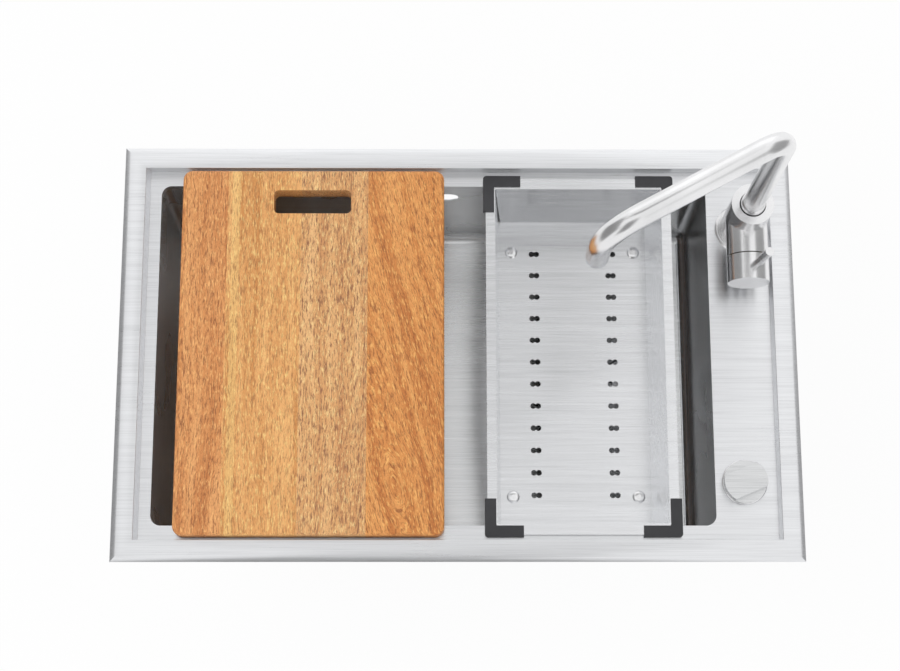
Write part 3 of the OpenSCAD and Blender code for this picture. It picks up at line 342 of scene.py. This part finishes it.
def swirl(s, at, eye):
    """Coordinates that bend the grain round an eye: across the grain they count the distance
    from the eye, so the pattern closes into long rings there."""
    turned = s.split(s.stretch((1.0, 1.0, 1.0), rotation=(0.0, 0.0, EYE_TURN),
                               source=s.vector("SUBTRACT", at, eye)))
    beside = turned["X"]
    past = s.math("MULTIPLY", s.math("ABSOLUTE", turned["Y"]), EYE_SQUEEZE)
    past = s.math("MINIMUM", past, EYE_REACH)
    ring = s.math("SQRT", s.weigh(beside, beside, past, past))
    plain = s.split(at)
    return s.join(ring, plain["Y"], s.weigh(beside, EYE_TILT, plain["Z"]))


def warp(s, at, waves, reach):
    """Pushes the coordinates sideways by a slow noise, which makes the grain curl."""
    push = s.math("SUBTRACT", s.noise(s.stretch(waves, source=at)), 0.5)
    return s.vector("MULTIPLY_ADD", push, (reach, 0.0, reach), at)


def wood(name, tones, seed, speck=0.8, stripe=None, eye=None):
    """One stave: curly grain along Y, ribbons of tone, dark strokes and pores, and painted
    glints: specks lighter than the wood's lightest tone that stand for glints of light.

    stripe is a pale band between two X values, and eye the middle of a swirl in the grain."""
    light, middle, dark = (linear(t) for t in tones)
    s = Shader(name)
    at = swirl(s, s.place, eye) if eye else s.place
    shift = s.node("ShaderNodeMapping")
    shift.inputs["Location"].default_value = (seed * 3.1, seed * 7.7, seed * 1.3)
    s.link(at, shift.inputs["Vector"])
    at = shift.outputs["Vector"]
    for waves, reach in WARPS:
        at = warp(s, at, waves, reach)
    ribbons = s.noise(s.stretch(RIBBONS, source=at), detail=3.0, rough=0.6)
    strokes = s.noise(s.stretch(STROKES, source=at), detail=3.0, rough=0.66)
    pores = s.noise(s.stretch(PORES, source=at), rough=0.6)
    glint_noise = s.noise(s.stretch(PAINTED_GLINTS, source=at), rough=0.6)

    tone = s.ramp(ribbons, [(0.32, dark), (0.50, middle), (0.66, light)])
    # painted glints: a tone above the wood's lightest, laid on specks as painted highlight; the
    # same tone also colours the pale band of the stripe
    glint_and_band_tone = shade(light, 1.42)
    glint_share = s.math("MULTIPLY", s.ramp(glint_noise, [(0.52, 0.0), (0.66, 1.0)]), 0.75)
    tone = s.mix(glint_share, tone, glint_and_band_tone)
    if stripe:
        low, high = stripe
        half = (high - low) / 2
        away = s.math("ABSOLUTE", s.math("SUBTRACT", s.split(s.place)["X"], (low + high) / 2))
        inside = s.range(away, 1.0, 0.0, half - 0.001, half)
        tone = s.mix(s.math("MULTIPLY", inside, 0.4), tone, glint_and_band_tone)
    stroke = (dark[0] * 0.52, dark[1] * 0.50, dark[2] * 0.62, 1.0)
    drawn = s.math("MULTIPLY", s.ramp(strokes, [(0.36, 1.0), (0.50, 0.0)]), speck)
    pitted = s.math("MULTIPLY", s.ramp(pores, [(0.34, 1.0), (0.46, 0.0)]), speck * 0.5)
    s.color(s.mix(pitted, s.mix(drawn, tone, stroke), shade(dark, 0.30)))
    s.rough(s.range(strokes, 0.50, 0.40))
    s.bump(pores, 0.35, 0.0002)
    s.bsdf.inputs["Specular IOR Level"].default_value = 0.3
    return s.mat


# ---------- edges of the carried-over nodes ----------

def smooth_edges(limit_deg):
    """Geometry nodes that weld the imported triangles and shade smooth below an edge angle."""
    g = bpy.data.node_groups.new(f"smooth_under_{limit_deg}", "GeometryNodeTree")
    for way in ("INPUT", "OUTPUT"):
        g.interface.new_socket("Geometry", in_out=way, socket_type="NodeSocketGeometry")
    n = g.nodes
    start = n.new("NodeGroupInput")
    weld = n.new("GeometryNodeMergeByDistance")
    weld.inputs["Distance"].default_value = WELD
    drop = n.new("GeometryNodeRemoveAttribute")
    drop.inputs["Name"].default_value = "custom_normal"
    faces = n.new("GeometryNodeSetShadeSmooth")
    faces.domain = "FACE"
    faces.inputs["Shade Smooth"].default_value = True
    edges = n.new("GeometryNodeSetShadeSmooth")
    edges.domain = "EDGE"
    edges.inputs["Shade Smooth"].default_value = False
    angle = n.new("GeometryNodeInputMeshEdgeAngle")
    sharp = n.new("FunctionNodeCompare")
    sharp.data_type = "FLOAT"
    sharp.operation = "GREATER_THAN"
    sharp.inputs["B"].default_value = math.radians(limit_deg)
    end = n.new("NodeGroupOutput")
    chain = (start, weld, drop, faces, edges)
    for before, after in zip(chain, chain[1:]):
        g.links.new(before.outputs[0], after.inputs["Geometry"])
    g.links.new(angle.outputs["Unsigned Angle"], sharp.inputs["A"])
    g.links.new(sharp.outputs["Result"], edges.inputs["Selection"])
    g.links.new(edges.outputs["Geometry"], end.inputs[0])
    return g


SMOOTH = smooth_edges(SHARP_DEG)


def dress(names, material, bevel=0.0, segments=2):
    """Gives nodes a material, welded smooth shading and, where stated, a small edge round."""
    for name in names:
        o = NODES[name]
        o.data.materials.clear()
        o.data.materials.append(material)
        o.modifiers.new("smooth", "NODES").node_group = SMOOTH
        if bevel:
            b = o.modifiers.new("edge", "BEVEL")
            b.width = bevel
            b.segments = segments
            b.limit_method = "ANGLE"
            b.angle_limit = ROUND_ABOVE
            b.use_clamp_overlap = True
            b.harden_normals = True


# ---------- stage ----------

def make_camera():
    data = bpy.data.cameras.new("camera")
    data.sensor_width = SENSOR_MM
    data.lens = FOCAL_PX * SENSOR_MM / IMAGE_W
    data.clip_start = CLIP_NEAR
    data.clip_end = CLIP_FAR
    cam = bpy.data.objects.new("camera", data)
    bpy.context.scene.collection.objects.link(cam)
    forward = Vector((math.sin(YAW) * math.cos(PITCH), math.cos(YAW) * math.cos(PITCH),
                      -math.sin(PITCH)))
    right = Vector((math.cos(YAW), -math.sin(YAW), 0.0))
    up = right.cross(forward)
    right_r = right * math.cos(ROLL) + up * math.sin(ROLL)
    up_r = up * math.cos(ROLL) - right * math.sin(ROLL)
    axes = (right_r, up_r, -forward, Vector(CAMERA_AT))
    rows = [tuple(axis[i] for axis in axes) for i in range(3)]
    cam.matrix_world = Matrix(rows + [(0.0, 0.0, 0.0, 1.0)])
    bpy.context.scene.camera = cam


def flat_sheet(name, w, h, z=0.0):
    """A rectangle of half sizes w and h, square to Z."""
    mesh = bpy.data.meshes.new(name)
    mesh.from_pydata([(-w, -h, z), (w, -h, z), (w, h, z), (-w, h, z)], [], [(0, 1, 2, 3)])
    o = bpy.data.objects.new(name, mesh)
    bpy.context.scene.collection.objects.link(o)
    return o


def face(o, at, aim):
    """Puts an object at a point with its -Z side toward another."""
    o.location = at
    o.rotation_euler = (Vector(aim) - Vector(at)).to_track_quat("-Z", "Y").to_euler()


def seen_rays(tree):
    """1 for rays of the camera, of reflections and of transmission, and 0 for the rest."""
    paths = tree.nodes.new("ShaderNodeLightPath")
    seen = paths.outputs["Is Camera Ray"]
    for ray in ("Is Glossy Ray", "Is Transmission Ray"):
        either = tree.nodes.new("ShaderNodeMath")
        either.operation = "MAXIMUM"
        tree.links.new(seen, either.inputs[0])
        tree.links.new(paths.outputs[ray], either.inputs[1])
        seen = either.outputs["Value"]
    return seen


def make_floor():
    """Plain pale floor: nearly white to the camera and in reflections, with a soft shadow."""
    o = flat_sheet("floor", FLOOR_HALF, FLOOR_HALF, CAD_BOX[0][2] - FLOOR_DROP)
    s = Shader("floor_paper", Roughness=0.9)
    s.bsdf.inputs["Specular IOR Level"].default_value = 0.0
    s.bsdf.inputs["Base Color"].default_value = WHITE
    cover = s.math("MULTIPLY", seen_rays(s.tree), FLOOR_WHITE)
    s.layer(cover, s.bsdf.outputs[0], s.emit(WHITE))
    o.data.materials.append(s.mat)


def make_world():
    """White behind the object and in its reflections, an even soft light on everything else."""
    world = bpy.data.worlds.new("studio")
    bpy.context.scene.world = world
    world.use_nodes = True
    t = world.node_tree
    t.nodes.clear()
    mix = t.nodes.new("ShaderNodeMixShader")
    t.links.new(seen_rays(t), mix.inputs[0])
    for slot, strength in ((1, SKY_LIGHT), (2, 1.0)):
        background = t.nodes.new("ShaderNodeBackground")
        background.inputs["Color"].default_value = WHITE
        background.inputs["Strength"].default_value = strength
        t.links.new(background.outputs[0], mix.inputs[slot])
    out = t.nodes.new("ShaderNodeOutputWorld")
    t.links.new(mix.outputs[0], out.inputs["Surface"])


def grey_card(name, at, aim, size, grey, soft):
    """Flat grey card that only reflections see, as the flags round a studio table. It casts no
    shadow, and fades out over the outer share of its width and height."""
    w, h = size[0] / 2, size[1] / 2
    o = flat_sheet(name, w, h)
    face(o, at, aim)
    for ray in ("camera", "diffuse", "transmission", "volume_scatter", "shadow"):
        setattr(o, "visible_" + ray, False)
    s = Shader(name)
    place = s.split(s.place)
    inside = []
    for axis, half in (("X", w), ("Y", h)):
        away = s.math("DIVIDE", s.math("ABSOLUTE", place[axis]), half)
        inside.append(s.range(away, 1.0, 0.0, 1.0 - soft, 1.0, curve="SMOOTHSTEP"))
    clear = s.node("ShaderNodeBsdfTransparent").outputs[0]
    s.layer(s.math("MULTIPLY", *inside), clear, s.emit((grey, grey, grey, 1.0)))
    o.data.materials.append(s.mat)


def make_key_light():
    """One weak square light from the upper left, which isn't mirrored in the steel."""
    data = bpy.data.lights.new("key", "AREA")
    data.shape = "RECTANGLE"
    data.size, data.size_y = KEY_SIZE
    data.energy = KEY_WATTS
    o = bpy.data.objects.new("key", data)
    face(o, KEY_AT, (0.0, 0.0, 0.0))
    o.visible_glossy = False
    bpy.context.scene.collection.objects.link(o)


# ---------- the object ----------

def dress_metal():
    sheet = brushed_steel("steel_brushed_x")
    dress(STEEL_NODES, sheet, bevel=SHEET_EDGE)
    dress(DECK_NODES, sheet)
    dress(BOWL_NODES, bowl_steel("steel_bowl_walls"))
    dress(("bowl_floor",), brushed_steel("steel_bowl_floor", tone=(238, 239, 240), rough=0.26))
    dress(("tray_shell",), brushed_steel("steel_tray", tone=(233, 234, 236), rough=0.26),
          bevel=SHEET_EDGE)
    dress(("knob_grip",), brushed_steel("knob_brushed", tone=(218, 219, 220), rough=0.26,
                                        contrast=1.4), bevel=KNOB_EDGE)
    dress(("tray_rivets",), satin_metal("steel_rivets", tone=(244, 244, 245), rough=0.22))
    dress(("aerator_ring",), satin_metal("steel_outlet", tone=(240, 240, 242), rough=0.16),
          bevel=TURNED_EDGE)
    dress(DRAIN_NODES, satin_metal("steel_drain", rough=0.24), bevel=TURNED_EDGE)
    dress(SATIN_NODES, satin_metal("satin_pipe", tone=(243, 243, 244)))
    dress(POLISHED_NODES, satin_metal("tap_polished", tone=(248, 248, 249), rough=0.25,
                                      depth=0.05), bevel=TAP_EDGE)
    dress(ZINC_NODES, satin_metal("zinc_plated", tone=(186, 190, 196), rough=0.32),
          bevel=SMALL_EDGE)
    dress(BRASS_NODES, turned_metal("brass_turned", (205, 178, 112), 0.3), bevel=TURNED_EDGE)
    dress(COPPER_NODES, turned_metal("copper_drawn", (196, 128, 92), 0.28))


def dress_moulded():
    dress(RUBBER_NODES, moulded("rubber_black", (40, 40, 42), rough=0.6), bevel=SMALL_EDGE)
    dress(BUMPER_NODES, moulded("rubber_bumper", (52, 52, 55), rough=0.55), bevel=BUMPER_EDGE,
          segments=3)
    dress(WHITE_PLASTIC_NODES, moulded("plastic_white", (236, 236, 233), rough=0.42, spread=0.06))
    dress(BLACK_PLASTIC_NODES, moulded("plastic_black", (44, 44, 46)))
    dress(("cartridge",), moulded("cartridge_body", (222, 222, 216), rough=0.4, spread=0.06))
    dress(("damping_pads",), moulded("pad_grey", (108, 110, 113), rough=0.75, grain=900,
                                     depth=0.5))
    dress(("rim_gasket",), moulded("foam_strip", (70, 70, 73), rough=0.9, grain=1200, depth=0.7))


def dress_board():
    dress(("board_stave_1",), wood(
        "wood_1", ((232, 166, 106), (217, 146, 88), (192, 120, 68)), 1.0))
    dress(("board_stave_2",), wood(
        "wood_2", ((244, 186, 120), (231, 168, 104), (212, 146, 84)), 2.3, speck=0.7,
        stripe=(-0.2688, -0.2584)))
    dress(("board_stave_3",), wood(
        "wood_3", ((240, 188, 130), (227, 170, 112), (206, 146, 96)), 3.9, speck=1.0))
    dress(("board_stave_4",), wood(
        "wood_4", ((236, 166, 98), (221, 147, 82), (200, 124, 66)), 5.2,
        eye=(-0.074, -0.159, 0.0)))


def make_stage():
    bpy.context.scene.view_settings.view_transform = "Standard"
    make_camera()
    make_world()
    make_floor()
    for card in CARDS:
        grey_card(*card)
    make_key_light()


make_stage()
dress_metal()
dress_moulded()
dress_board()
